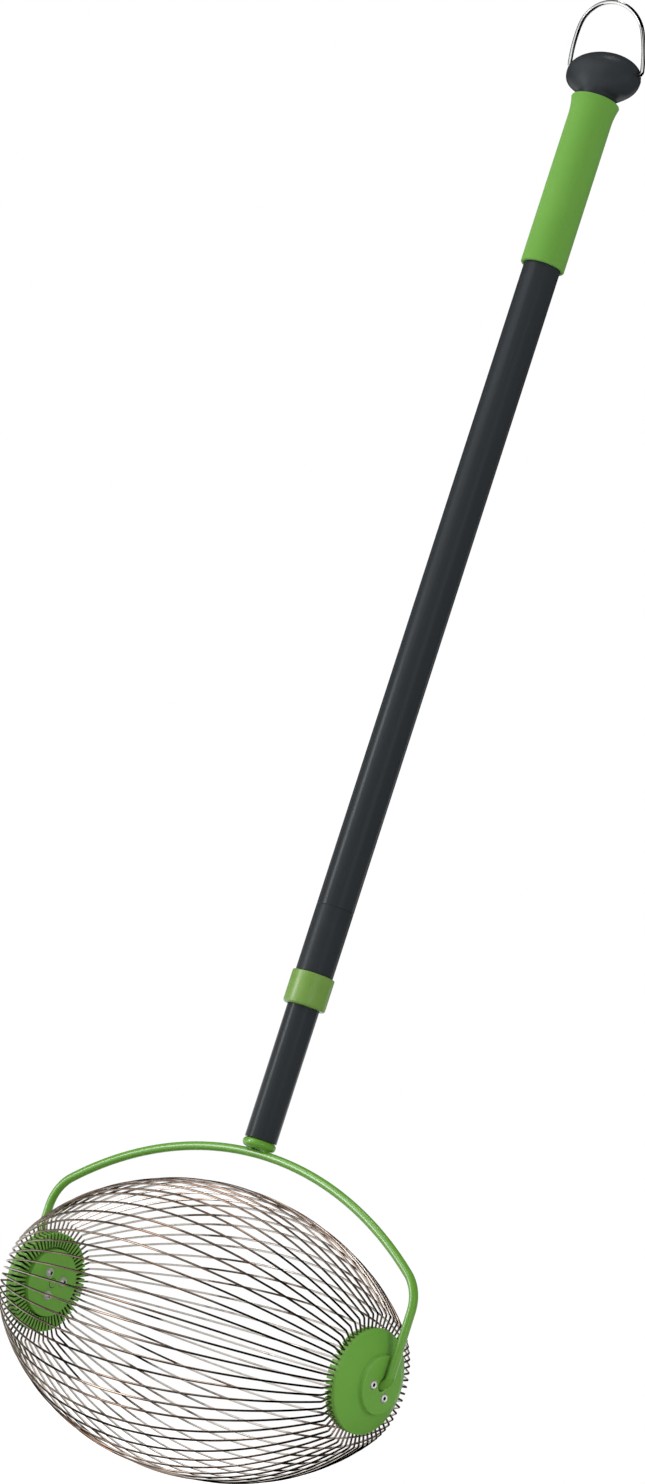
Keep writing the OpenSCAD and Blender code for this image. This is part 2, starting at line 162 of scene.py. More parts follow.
def rounded(corners: Sequence[Corner], closed: bool = False) -> list[Vector]:
    """Points along a line whose corners are rounded.

    Args:
        corners: The line's corners.
        closed: Whether the last corner joins the first.

    Returns:
        The points of the rounded line.
    """
    points: list[Vector] = []
    count = len(corners)
    for index, (place, radius) in enumerate(corners):
        is_end = not closed and index in (0, count - 1)
        back = corners[index - 1][0] - place
        ahead = corners[(index + 1) % count][0] - place
        if is_end or radius <= 0 or math.pi - back.angle(ahead) < TINY:
            points.append(place.copy())
            continue
        spread = back.angle(ahead)
        longest = ROUND_SHARE * min(back.length, ahead.length)
        reach = min(radius / math.tan(spread / 2), longest)
        fillet = reach * math.tan(spread / 2)
        middle = (back.normalized() + ahead.normalized()).normalized()
        centre = place + middle * (fillet / math.sin(spread / 2))
        first = place + back.normalized() * reach - centre
        last = place + ahead.normalized() * reach - centre
        axis = first.cross(last).normalized()
        for step in range(ROUND_STEPS + 1):
            turn = Quaternion(axis, (math.pi - spread) * step / ROUND_STEPS)
            points.append(centre + turn @ first)
    return points


def skin(made: BMesh, rings: list[list[BMVert]], closed: bool = False) -> BMesh:
    """Spans faces between rings of corners.

    Args:
        made: The mesh that holds the corners.
        rings: The rings, each with as many corners. A ring that is a point repeats its one corner.
        closed: Whether the last ring joins the first. Otherwise a face closes each end.

    Returns:
        The solid, with its faces turned outwards.
    """
    ahead = rings[1:] + rings[:1] if closed else rings[1:]
    for lower, upper in zip(rings, ahead):
        for i in range(len(lower)):
            j = (i + 1) % len(lower)
            loop = list(dict.fromkeys((lower[i], lower[j], upper[j], upper[i])))
            if len(loop) > 2:
                made.faces.new(loop)
    if not closed:
        made.faces.new(rings[0])
        made.faces.new(rings[-1])
    bmesh.ops.recalc_face_normals(made, faces=made.faces)
    return made


def turned(corners: Sequence[Edge], faces: int = TURNED_FACES) -> BMesh:
    """Turns a closed half outline about Z.

    Args:
        corners: The outline's corners.
        faces: Faces round the piece.

    Returns:
        The solid.
    """
    made = bmesh.new()
    turns = [Matrix.Rotation(math.tau * i / faces, 3, "Z") for i in range(faces)]
    line = [(flat(r, z), fillet[0] if fillet else 0.0) for r, z, *fillet in corners]
    rings = []
    for point in rounded(line, closed=True):
        if point.x < TINY:
            rings.append([made.verts.new(point)] * faces)
        else:
            rings.append([made.verts.new(turn @ point) for turn in turns])
    return skin(made, rings, closed=True)


def sweep(path: list[Vector], radius: float, sides: int) -> BMesh:
    """A round bar along a line.

    Args:
        path: Points of the bar's centre line.
        radius: The bar's radius.
        sides: Faces round the bar.

    Returns:
        The solid, closed at both ends.
    """
    made = bmesh.new()
    rings = []
    heading = (path[1] - path[0]).normalized()
    side = heading.orthogonal().normalized()
    for index, place in enumerate(path):
        before = path[max(index - 1, 0)]
        after = path[min(index + 1, len(path) - 1)]
        new_heading = (after - before).normalized()
        side = heading.rotation_difference(new_heading) @ side
        heading = new_heading
        spokes = [Quaternion(heading, math.tau * i / sides) @ side for i in range(sides)]
        rings.append([made.verts.new(place + spoke * radius) for spoke in spokes])
    return skin(made, rings)


def loose(name: str, made: BMesh) -> Object:
    """Makes an object of a mesh.

    Args:
        name: The object's name.
        made: The mesh, which is used up.

    Returns:
        The object, in the scene.
    """
    mesh = bpy.data.meshes.new(name)
    made.to_mesh(mesh)
    made.free()
    item = bpy.data.objects.new(name, mesh)
    bpy.context.scene.collection.objects.link(item)
    return item


def merged(items: Sequence[Object]) -> BMesh:
    """Puts the meshes of several objects in one.

    Args:
        items: The objects, which are used up.

    Returns:
        One mesh that holds them all.
    """
    whole = bmesh.new()
    for item in items:
        whole.from_mesh(item.data)
        bpy.data.meshes.remove(item.data)
    return whole


def join(parts: Sequence[BMesh]) -> BMesh:
    """Puts several solids, which are used up, in one mesh."""
    return merged([loose("part", part) for part in parts])


def configure(thing: object, **settings: object) -> None:
    """Sets properties of a node, a modifier, a light or an object."""
    for key, value in settings.items():
        setattr(thing, key, value)


def settle(item: Object) -> None:
    """Turns an object's modifiers into its mesh.

    Args:
        item: The object, whose modifiers are used up.
    """
    bpy.context.view_layer.update()
    graph = bpy.context.evaluated_depsgraph_get()
    mesh = bpy.data.meshes.new_from_object(item.evaluated_get(graph))
    item.modifiers.clear()
    item.data = mesh


def cut(item: Object, cutters: Sequence[BMesh]) -> None:
    """Cuts solids out of an object.

    Args:
        item: The object to cut.
        cutters: The solids to take away, which are used up.
    """
    tools = [loose(f"cutter_{index}", cutter) for index, cutter in enumerate(cutters)]
    for tool in tools:
        step = item.modifiers.new(tool.name, "BOOLEAN")
        configure(step, operation="DIFFERENCE", solver="EXACT", object=tool)
    settle(item)
    for tool in tools:
        bpy.data.objects.remove(tool)


def soften(item: Object, width: float, segments: int = 2) -> None:
    """Rounds an object's sharp edges.

    Args:
        item: The object.
        width: Width of the rounding.
        segments: Faces across the rounding.
    """
    step = item.modifiers.new("soft_edges", "BEVEL")
    configure(step, width=width, segments=segments, limit_method="ANGLE", angle_limit=CREASE)
    step.use_clamp_overlap = True
    settle(item)


def crease(item: Object) -> None:
    """Shades an object smooth, apart from its sharp edges.

    Args:
        item: The object.
    """
    made = bmesh.new()
    made.from_mesh(item.data)
    for face in made.faces:
        face.smooth = True
    for edge in made.edges:
        edge.smooth = len(edge.link_faces) != 2 or edge.calc_face_angle() < CREASE
    made.to_mesh(item.data)
    made.free()


class Wiring:
    """Adds and links the nodes of one material, world or group."""

    def __init__(self, tree: NodeTree) -> None:
        """Starts on a tree and empties it."""
        self.tree = tree
        self.tree.nodes.clear()

    def add(self, kind: str, inputs: dict | None = None, **settings: object) -> Node:
        """Adds a node.

        Args:
            kind: The node's type.
            inputs: Values or sockets for its inputs, by name or place.
            settings: Values for its own properties.

        Returns:
            The node.
        """
        node = self.tree.nodes.new(kind)
        configure(node, **settings)
        for key, value in (inputs or {}).items():
            if isinstance(value, NodeSocket):
                self.tree.links.new(value, node.inputs[key])
            else:
                node.inputs[key].default_value = value
        return node

    def reckon(self, operation: str, one: Value, other: Value, clamp: bool = False) -> NodeSocket:
        """Adds a sum of two values and gives its result."""
        node = self.add("ShaderNodeMath", {0: one, 1: other}, operation=operation, use_clamp=clamp)
        return node.outputs["Value"]

    def steer(self, operation: str, *given: Value) -> Mapping[str, NodeSocket]:
        """Adds a sum of directions and gives its results."""
        return self.add("ShaderNodeVectorMath", dict(enumerate(given)), operation=operation).outputs

    def ramp(
            self, value: NodeSocket, low: Value, high: Value, start: Value = 0.0,
            end: Value = 1.0) -> NodeSocket:
        """Adds a change from start to end while a value runs from low to high."""
        limits = {"Value": value, "From Min": low, "From Max": high, "To Min": start, "To Max": end}
        return self.add("ShaderNodeMapRange", limits).outputs["Result"]

    def blend(self, share: NodeSocket, one: Value, other: Value) -> NodeSocket:
        """Adds a mix of two colours and gives the colour."""
        given = {MIX_SHARE: share, MIX_ONE: one, MIX_OTHER: other}
        return self.add("ShaderNodeMix", given, data_type="RGBA").outputs[MIX_RESULT]

    def stretched(self, stretch: NodeSocket) -> NodeSocket:
        """Adds the place on a piece, with its three directions scaled."""
        place = self.add("ShaderNodeTexCoord").outputs["Object"]
        return self.add("ShaderNodeMapping", {"Vector": place, "Scale": stretch}).outputs["Vector"]

    def cloud(
            self, place: NodeSocket, scale: NodeSocket, detail: float, rough: float = 0.5) -> NodeSocket:
        """Adds a soft cloud pattern and gives its value."""
        given = {"Vector": place, "Scale": scale, "Detail": detail, "Roughness": rough}
        return self.add("ShaderNodeTexNoise", given).outputs["Fac"]


def blank(name: str) -> tuple[Material, Wiring]:
    """Makes an empty material.

    Args:
        name: The material's name.

    Returns:
        The material and its wiring.
    """
    made = bpy.data.materials.new(name)
    made.use_nodes = True
    return made, Wiring(made.node_tree)


@dataclass(frozen=True)
class Effect:
    """A surface effect that several finishes share, built once as a node group."""

    name: str
    inputs: Sockets
    outputs: Sockets

    def start(self) -> tuple[Wiring, Mapping[str, NodeSocket]]:
        """Makes the empty group with its sockets.

        Returns:
            The group's wiring and its inputs.
        """
        tree = bpy.data.node_groups.new(self.name, "ShaderNodeTree")
        for way, sockets in (("INPUT", self.inputs), ("OUTPUT", self.outputs)):
            for name, kind in sockets:
                tree.interface.new_socket(name=name, in_out=way, socket_type=kind.value)
        wiring = Wiring(tree)
        return wiring, wiring.add("NodeGroupInput").outputs

    def place(self, wiring: Wiring, inputs: dict) -> Mapping[str, NodeSocket]:
        """Puts the group in a material, with values or sockets for its inputs, and gives its outputs."""
        tree = bpy.data.node_groups.get(self.name) or self.build()
        return wiring.add("ShaderNodeGroup", inputs, node_tree=tree).outputs

    def build(self) -> NodeTree:
        """Fills the group, in each effect's own way."""
        raise NotImplementedError


@dataclass(frozen=True)
class ToneDrift(Effect):
    """A slow change between two tones over a surface."""

    name: str = "tone_drift"
    inputs: Sockets = (
        ("Tone", Kind.TONE), ("Other Tone", Kind.TONE), ("Scale", Kind.VALUE), ("Share", Kind.VALUE),
        ("Stretch", Kind.WAY), ("Low", Kind.VALUE), ("High", Kind.VALUE))
    outputs: Sockets = (("Colour", Kind.TONE),)

    def build(self) -> NodeTree:
        """Mixes the tones by a soft cloud pattern.

        Returns:
            The group.
        """
        wiring, given = self.start()
        cloud = wiring.cloud(wiring.stretched(given["Stretch"]), given["Scale"], detail=4.0)
        share = wiring.ramp(cloud, given["Low"], given["High"], end=given["Share"])
        tone = wiring.blend(share, given["Tone"], given["Other Tone"])
        wiring.add("NodeGroupOutput", {"Colour": tone})
        return wiring.tree


@dataclass(frozen=True)
class FineGrain(Effect):
    """The small relief of a coat, a moulding or a drawn bar, and the patches where it is duller."""

    name: str = "fine_grain"
    inputs: Sockets = (("Scale", Kind.VALUE), ("Stretch", Kind.WAY))
    outputs: Sockets = (("Height", Kind.VALUE), ("Patch", Kind.VALUE))
    patch_share: float = 0.12

    def build(self) -> NodeTree:
        """Draws the relief by a fine pattern and the patches by a coarser one.

        Returns:
            The group.
        """
        wiring, given = self.start()
        place = wiring.stretched(given["Stretch"])
        relief = wiring.cloud(place, given["Scale"], detail=3.0, rough=0.55)
        coarse = wiring.reckon("MULTIPLY", given["Scale"], self.patch_share)
        patch = wiring.cloud(place, coarse, detail=2.0)
        wiring.add("NodeGroupOutput", {"Height": relief, "Patch": patch})
        return wiring.tree


@dataclass(frozen=True)
class EdgeWearAndHighlight(Effect):
    """A mask of a piece's edges, where a finish is lightened, partly for wear and partly as a painted
    highlight.
    """

    name: str = "edge_wear_and_highlight"
    inputs: Sockets = (("Reach", Kind.VALUE),)
    outputs: Sockets = (("Edge", Kind.VALUE),)
    gain: float = 5.0

    def build(self) -> NodeTree:
        """Compares the surface with a rounded copy of itself.

        Returns:
            The group.
        """
        wiring, given = self.start()
        soft = wiring.add("ShaderNodeBevel", {"Radius": given["Reach"]}, samples=6)
        true = wiring.add("ShaderNodeNewGeometry")
        match = wiring.steer("DOT_PRODUCT", soft.outputs["Normal"], true.outputs["Normal"])
        apart = wiring.reckon("SUBTRACT", 1.0, match["Value"])
        edge = wiring.reckon("MULTIPLY", apart, self.gain, clamp=True)
        wiring.add("NodeGroupOutput", {"Edge": edge})
        return wiring.tree


@dataclass(frozen=True)
class PaintedGlareInside(Effect):
    """A mask of the side of a wire that looks in on the cage, where a pale glare is painted on."""

    name: str = "painted_glare_inside"
    inputs: Sockets = (("Axle", Kind.WAY),)
    outputs: Sockets = (("Inside", Kind.VALUE),)
    across_axle: Triple = (0.0, 1.0, 1.0)
    # Facings at which the painted pale glare is full and at which there is none
    full_glare_facing: float = -0.4
    no_glare_facing: float = 0.12

    def build(self) -> NodeTree:
        """Compares the surface's direction with the way out from the axle.

        Returns:
            The group.
        """
        wiring, given = self.start()
        place = wiring.add("ShaderNodeTexCoord").outputs
        away = wiring.steer("SUBTRACT", place["Object"], given["Axle"])
        level = wiring.steer("MULTIPLY", away["Vector"], self.across_axle)
        out = wiring.steer("NORMALIZE", level["Vector"])
        facing = wiring.steer("DOT_PRODUCT", out["Vector"], place["Normal"])
        wiring.add("NodeGroupOutput", {"Inside": wiring.ramp(facing["Value"], self.no_glare_facing, self.full_glare_facing)})
        return wiring.tree


@dataclass(frozen=True)
class RecessShade(Effect):
    """A mask of a piece's open surface, which is 0 down in its slots and sockets, where the colour is
    darkened to paint their shade.
    """

    name: str = "painted_recess_shade"
    inputs: Sockets = (("Reach", Kind.VALUE),)
    outputs: Sockets = (("Open", Kind.VALUE),)
    closed: float = 0.25
    clear: float = 0.85

    def build(self) -> NodeTree:
        """Measures how far the piece stands in its own way.

        Returns:
            The group.
        """
        wiring, given = self.start()
        reach = {"Distance": given["Reach"]}
        shade = wiring.add("ShaderNodeAmbientOcclusion", reach, samples=8, only_local=True)
        depth = wiring.ramp(shade.outputs["AO"], self.closed, self.clear)
        wiring.add("NodeGroupOutput", {"Open": depth})
        return wiring.tree


TONE_DRIFT = ToneDrift()
FINE_GRAIN = FineGrain()
EDGE_WEAR_AND_HIGHLIGHT = EdgeWearAndHighlight()
PAINTED_GLARE_INSIDE = PaintedGlareInside()
RECESS_SHADE = RecessShade()


@dataclass(frozen=True)
class Finish:
    """A finish of the tool: its tones, its gloss and its relief."""

    slot: str
    tone: Triple
    other_tone: Triple
    wear_and_highlight_tone: Triple
    drift_scale: float = 30.0
    drift_share: float = 0.6
    drift_low: float = 0.36
    drift_high: float = 0.64
    rough_low: float = 0.4
    rough_high: float = 0.5
    dull_low: float = 0.35
    dull_high: float = 0.65
    grain_scale: float = 1500.0
    grain_depth: float = 0.00002
    grain_strength: float = 0.6
    grain_stretch: Stretch = Stretch.EVEN
    edge_reach: float = 0.0006
    edge_share: float = 0.5
    metal: float = 0.0
    shine: float = 0.5
    coat: float = 0.0
    coat_rough: float = 0.1
    coat_bend: float = 1.5
    sheen: float = 0.0
    # Painted shade: how far into slots, sockets and hollows the colour darkens (0 for none), and the dark
    # tone painted there
    recess: float = 0.0
    painted_recess_shade_tone: Triple = (0.01, 0.01, 0.01)

    def material(self) -> Material:
        """Builds the finish once.

        Returns:
            The material.
        """
        name = self.slot + "_finish"
        if name in bpy.data.materials:
            return bpy.data.materials[name]
        made, wiring = blank(name)
        grain = FINE_GRAIN.place(wiring, {"Scale": self.grain_scale, "Stretch": self.grain_stretch.value})
        relief = wiring.add("ShaderNodeBump", {
            "Height": grain["Height"], "Strength": self.grain_strength, "Distance": self.grain_depth})
        surface = wiring.add("ShaderNodeBsdfPrincipled", {
            "Base Color": self.colour(wiring), "Normal": relief.outputs["Normal"],
            "Roughness": wiring.ramp(
                grain["Patch"], self.dull_low, self.dull_high, self.rough_low, self.rough_high),
            "Metallic": self.metallic(wiring), "Specular IOR Level": self.shine, "Coat Weight": self.coat,
            "Coat Roughness": self.coat_rough, "Coat IOR": self.coat_bend, "Sheen Weight": self.sheen})
        wiring.add("ShaderNodeOutputMaterial", {"Surface": surface.outputs["BSDF"]})
        return made

    def dress(self, item: Object) -> None:
        """Puts the finish on an object."""
        item.data.materials.clear()
        item.data.materials.append(self.material())

    def metallic(self, wiring: Wiring) -> Value:
        """How far the finish is bare metal: a plain share, or a socket where it changes over a piece."""
        return self.metal

    def drift(self, wiring: Wiring) -> NodeSocket:
        """The finish's two tones, drifting into each other."""
        return TONE_DRIFT.place(wiring, {
            "Tone": (*self.tone, 1.0), "Other Tone": (*self.other_tone, 1.0), "Scale": self.drift_scale,
            "Share": self.drift_share, "Stretch": self.grain_stretch.value, "Low": self.drift_low,
            "High": self.drift_high})["Colour"]

    def mask(self, wiring: Wiring) -> NodeSocket:
        """Where the finish shows its wear and highlight tone: lighter edges, partly wear and partly painted
        highlight.
        """
        return EDGE_WEAR_AND_HIGHLIGHT.place(wiring, {"Reach": self.edge_reach})["Edge"]

    def colour(self, wiring: Wiring) -> NodeSocket:
        """The finish's colour over a piece.

        Args:
            wiring: The material's wiring.

        Returns:
            The colour.
        """
        # Lighter where the mask says: on most finishes the edges, partly wear and partly a painted
        # highlight; on the wire, the painted pale glare on its inner side
        share = wiring.reckon("MULTIPLY", self.mask(wiring), self.edge_share)
        tone = wiring.blend(share, self.drift(wiring), (*self.wear_and_highlight_tone, 1.0))
        if self.recess <= 0:
            return tone
        # Painted shade: down in slots, sockets and hollows the colour darkens to the painted recess shade
        # tone
        depth = RECESS_SHADE.place(wiring, {"Reach": self.recess})
        return wiring.blend(depth["Open"], (*self.painted_recess_shade_tone, 1.0), tone)


@dataclass(frozen=True)
class WireFinish(Finish):
    """Drawn wire of a cage, dark outside and painted pale with glare in its wear and highlight tone on the
    inside, in patches.
    """

    axle: Vector = field(default_factory=lambda: joint_place("basket_spin"))
    patch_scale: float = 24.0
    patch_low: float = 0.41
    patch_high: float = 0.51

    def mask(self, wiring: Wiring) -> NodeSocket:
        """Where a pale glare is painted on the wire.

        Args:
            wiring: The material's wiring.

        Returns:
            The mask.
        """
        inside = PAINTED_GLARE_INSIDE.place(wiring, {"Axle": self.axle})
        patch = TONE_DRIFT.place(wiring, {
            "Tone": BLACK, "Other Tone": WHITE, "Scale": self.patch_scale, "Share": 1.0,
            "Stretch": Stretch.EVEN.value, "Low": self.patch_low, "High": self.patch_high})
        return wiring.reckon("MULTIPLY", inside["Inside"], patch["Colour"])

    def metallic(self, wiring: Wiring) -> NodeSocket:
        """Bare metal where the wire is dark, and less metallic where the pale glare is painted."""
        return wiring.reckon("SUBTRACT", self.metal, self.mask(wiring))


# The wires' pale tone is painted glare on their inner sides, in patches
SPRING_WIRE = WireFinish(
    slot="spring_wire", tone=(0.12, 0.077, 0.055), other_tone=(0.5, 0.39, 0.31),
    wear_and_highlight_tone=(0.88, 0.81, 0.76), drift_scale=70.0, drift_share=0.7, drift_low=0.48, drift_high=0.72,
    rough_low=0.14, rough_high=0.24, grain_scale=2600.0, grain_depth=0.00001,
    grain_stretch=Stretch.ALONG_AXLE, edge_share=0.85, metal=1.0)
# The hub's pale edge tone paints highlights on the ribs' edges, and its recess paints shade down in the
# slots between them
HUB_PLASTIC = Finish(
    slot="hub_plastic", tone=(0.148, 0.385, 0.051), other_tone=(0.164, 0.4, 0.056),
    wear_and_highlight_tone=(0.5, 0.72, 0.26), drift_scale=45.0, rough_low=0.38, rough_high=0.48, grain_scale=1900.0,
    grain_depth=0.000018, edge_reach=0.0007, edge_share=0.9, shine=0.3, recess=0.004,
    painted_recess_shade_tone=(0.012, 0.03, 0.006))
# The screws' sockets and the nuts' hollows get painted shade through recess
BRIGHT_STEEL = Finish(
    slot="bright_steel", tone=(0.82, 0.81, 0.79), other_tone=(0.7, 0.68, 0.66),
    wear_and_highlight_tone=(0.88, 0.88, 0.87), drift_scale=700.0, drift_share=0.5, rough_low=0.08, rough_high=0.16,
    grain_scale=5000.0, grain_depth=0.000003, edge_reach=0.0002, metal=0.55, recess=0.003)
BUSH_PLASTIC = Finish(
    slot="bush_plastic", tone=(0.7, 0.7, 0.66), other_tone=(0.64, 0.64, 0.6),
    wear_and_highlight_tone=(0.78, 0.78, 0.75), drift_scale=90.0, rough_low=0.45, rough_high=0.6, shine=0.3)
GREEN_COAT = Finish(
    slot="green_coat", tone=(0.13, 0.338, 0.039), other_tone=(0.142, 0.352, 0.044),
    wear_and_highlight_tone=(0.24, 0.48, 0.12), drift_scale=60.0, rough_low=0.34, rough_high=0.42, grain_scale=500.0,
    grain_depth=0.000001, edge_share=0.2, shine=0.0, coat=1.0, coat_rough=0.22, coat_bend=1.6)
TUBE_COAT = Finish(
    slot="tube_coat", tone=(0.0275, 0.0325, 0.036), other_tone=(0.031, 0.036, 0.0395),
    wear_and_highlight_tone=(0.038, 0.042, 0.045), drift_scale=40.0, rough_low=0.22, rough_high=0.28, grain_scale=1300.0,
    grain_depth=0.000008, grain_stretch=Stretch.ALONG_POLE, edge_share=0.35, shine=0.12)
DARK_PLASTIC = Finish(
    slot="dark_plastic", tone=(0.0275, 0.0325, 0.036), other_tone=(0.031, 0.036, 0.0395),
    wear_and_highlight_tone=(0.04, 0.044, 0.047), drift_scale=60.0, rough_low=0.3, rough_high=0.38, grain_scale=1700.0,
    grain_depth=0.000012, edge_reach=0.0008, edge_share=0.35, shine=0.12)
COLLAR_PLASTIC = Finish(
    slot="collar_plastic", tone=(0.16, 0.305, 0.054), other_tone=(0.185, 0.33, 0.068),
    wear_and_highlight_tone=(0.33, 0.5, 0.18), drift_scale=90.0, rough_low=0.28, rough_high=0.38, grain_scale=1700.0)
GRIP_RUBBER = Finish(
    slot="grip_rubber", tone=(0.14, 0.342, 0.052), other_tone=(0.152, 0.357, 0.059),
    wear_and_highlight_tone=(0.29, 0.52, 0.15), drift_scale=35.0, rough_low=0.68, rough_high=0.8, grain_scale=2300.0,
    grain_depth=0.00004, edge_reach=0.0011, edge_share=0.6, shine=0.15, sheen=0.08)
BAIL_CHROME = Finish(
    slot="bail_chrome", tone=(0.66, 0.66, 0.65), other_tone=(0.58, 0.58, 0.57), wear_and_highlight_tone=(0.7, 0.7, 0.69),
    drift_scale=200.0, rough_low=0.04, rough_high=0.09, grain_scale=3000.0, grain_depth=0.000002,
    edge_share=0.0, metal=1.0)


def piece(name: str, made: BMesh | Object, finish: Finish, body: str, node: str) -> None:
    """Dresses a piece and sets it on its body.

    Args:
        name: The piece's name.
        made: The piece in its place, as an object or as a mesh, which is used up.
        finish: Its finish.
        body: The body that it moves with.
        node: The solid that it stands for.
    """
    item = loose(name, made) if isinstance(made, BMesh) else made
    item.name = name
    item.data.name = name
    crease(item)
    finish.dress(item)
    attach(item, body)
    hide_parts(node)
    LOG.info("%s rides on %s and stands for %s", name, body, node)


def dress_solid(node: str, finish: Finish) -> None:
    """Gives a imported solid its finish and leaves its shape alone."""
    finish.dress(frame["nodes"][node])
    LOG.info("%s keeps its solid", node)


@dataclass
class Cage:
    """The barrel of spring wires."""

    axle: Vector
    body: str = "basket"
    groups: str = "abcdef"
    wires: int = 60
    wire_radius: float = 0.0007
    waist_radius: float = 0.0969
    half_length: float = 0.145
    shoulder_radius: float = 0.0434
    foot_radius: float = 0.02045
    kink_radius: float = 0.0022
    sag: float = 0.0011
    sway: float = 0.0012
    arch_steps: int = 44
    sides: int = 10
    seed: int = 7

    def wire(self, chance: random.Random) -> BMesh:
        """Bends one wire in the XZ plane above the axle.

        Args:
            chance: Source of the small ways in which hand-set wires differ.

        Returns:
            The wire.
        """
        rise = self.waist_radius - self.shoulder_radius
        bow = (self.half_length ** 2 + rise ** 2) / (2 * rise)
        swing = math.degrees(math.asin(self.half_length / bow))
        arch = arc(flat(0, self.waist_radius - bow), bow, 90 + swing, 90 - swing, self.arch_steps)
        sag = -chance.random() * self.sag
        sway = (2 * chance.random() - 1) * self.sway
        twist = (2 * chance.random() - 1) * self.sway
        corners: list[Corner] = [(flat(-self.half_length, self.foot_radius), 0.0)]
        for index, point in enumerate(arch):
            along = point.x / self.half_length
            free = (1 - along ** 2) ** 2
            point += Vector((0, free * (sway + twist * along), free * sag))
            corners.append((point, self.kink_radius if index in (0, self.arch_steps) else 0.0))
        corners.append((flat(self.half_length, self.foot_radius), 0.0))
        return sweep(rounded(corners), self.wire_radius, self.sides)

    def build(self) -> None:
        """Sets the wires round the axle, in the same groups as the solids."""
        chance = random.Random(self.seed)
        share = self.wires // len(self.groups)
        for number, letter in enumerate(self.groups):
            bent = []
            for index in range(number * share, (number + 1) * share):
                wire = self.wire(chance)
                turn = Matrix.Rotation(math.tau * index / self.wires, 4, "X")
                wire.transform(Matrix.Translation(self.axle) @ turn)
                bent.append(wire)
            piece(f"wires_{letter}", join(bent), SPRING_WIRE, self.body, f"cage_wires_{letter}")


@dataclass
class Hub:
    """One end of the cage: a domed cup, an inner plate, screws with their nuts, and the axle's bush."""

    axle: Vector
    side: Side
    turn: float
    body: str = "basket"
    half_length: float = 0.145
    radius: float = 0.0346
    rim: float = 0.0032
    rim_round: float = 0.0011
    dome: float = 0.0104
    dome_steps: int = 16
    boss_radius: float = 0.019
    boss: float = 0.0034
    boss_round: float = 0.0007
    boss_hollow: float = 0.0016
    rib: float = 0.005
    rib_inner: float = 0.0245
    rib_outer: float = 0.0344
    rib_sink: float = 0.0004
    rib_round: float = 0.00022
    slot: float = 0.0015
    slot_floor: float = 0.0007
    ribs: int = 60
    plate_radius: float = 0.0234
    plate: float = 0.0026
    plate_round: float = 0.0007
    plate_ring: float = 0.003
    plate_fit: float = 0.00005
    bush_radius: float = 0.0046
    bore: float = 0.00345
    screws: int = 3
    screw_circle: float = 0.0092
    screw_faces: int = 40
    head_radius: float = 0.003
    head: float = 0.002
    head_proud: float = 0.0005
    head_round: float = 0.00035
    pocket_fit: float = 0.00012
    pocket_chamfer: float = 0.0004
    socket_radius: float = 0.0015
    socket_depth: float = 0.0018
    socket_sides: int = 6
    shank_radius: float = 0.0019
    nut_radius: float = 0.0033
    nut: float = 0.0028
    nut_base: float = 1 / 3
    nut_steps: int = 12
    hollow_radius: float = 0.0013
    hollow_depth: float = 0.0012
    frame_to_part: Matrix = field(init=False)
    face: float = field(init=False)
    head_top: float = field(init=False)
    inner: float = field(init=False)

    def __post_init__(self) -> None:
        """Works out where the hub's own frame lies, and its levels along the axle."""
        self.frame_to_part = self.side.matrix(self.axle, self.half_length)
        self.face = self.dome + self.boss
        self.head_top = self.face + self.head_proud
        self.inner = -self.rib - self.plate + self.plate_fit

    def at_screws(self, make: Callable[[], BMesh]) -> list[BMesh]:
        """Makes a solid at each screw.

        Args:
            make: Makes one solid about the screw's own axis.

        Returns:
            The solids in the hub's frame.
        """
        made = [make() for _ in range(self.screws)]
        for index, solid in enumerate(made):
            spin = Matrix.Rotation(math.radians(self.turn) + math.tau * index / self.screws, 4, "Z")
            solid.transform(spin @ Matrix.Translation((self.screw_circle, 0, 0)))
        return made

    def shell(self) -> BMesh:
        """Turns the cup's dome and boss.

        Returns:
            The dome, without its ribs.
        """
        middle = (self.radius ** 2 + self.rim ** 2 - self.boss_radius ** 2 - self.dome ** 2)
        middle /= 2 * (self.rim - self.dome)
        bow = math.hypot(self.radius, self.rim - middle)
        low = math.degrees(math.asin((self.rim - middle) / bow))
        high = math.degrees(math.asin((self.dome - middle) / bow))
        crown = arc(flat(0, middle), bow, low, high, self.dome_steps)
        return turned((
            (self.bush_radius, self.slot_floor), (self.radius, self.slot_floor, self.rib_round),
            (self.radius, self.rim, self.rim_round), *sharp(crown[1:-1]),
            (self.boss_radius, self.dome, self.boss_hollow), (self.boss_radius, self.face, self.boss_round),
            (self.bush_radius, self.face, self.rib_round)), 2 * TURNED_FACES)

    def rib_block(self, index: int) -> BMesh:
        """Makes one rib between two wires.

        Args:
            index: The rib's place round the hub.

        Returns:
            The rib.
        """
        step = math.tau / self.ribs
        inner, outer = self.rib_inner, self.rib_outer
        made = bmesh.new()
        rings = []
        for level in (-self.rib, self.slot_floor + self.rib_sink):
            ring = []
            for reach, sign in ((inner, -1), (outer, -1), (outer, 1), (inner, 1)):
                half = reach * math.sin(step / 2) - self.slot / 2
                ring.append(made.verts.new((reach * math.cos(step / 2), sign * half, level)))
            rings.append(ring)
        skin(made, rings)
        made.transform(Matrix.Rotation((index + 0.5) * step, 4, "Z"))
        return made

    def pocket(self) -> BMesh:
        """The recess round a screw's head.

        Returns:
            The solid to take away.
        """
        wide = self.head_radius + self.pocket_fit
        floor = self.head_top - self.head
        top = self.face + self.head
        return turned((
            (0.0, floor), (wide, floor), (wide, self.face - self.pocket_chamfer),
            (wide + self.pocket_chamfer + self.head, top), (0.0, top)), self.screw_faces)

    def screw(self) -> BMesh:
        """A screw from its head to the nut."""
        shoulder = self.head_top - self.head
        return turned((
            (0.0, self.inner), (self.shank_radius, self.inner), (self.shank_radius, shoulder),
            (self.head_radius, shoulder), (self.head_radius, self.head_top, self.head_round),
            (0.0, self.head_top)), self.screw_faces)

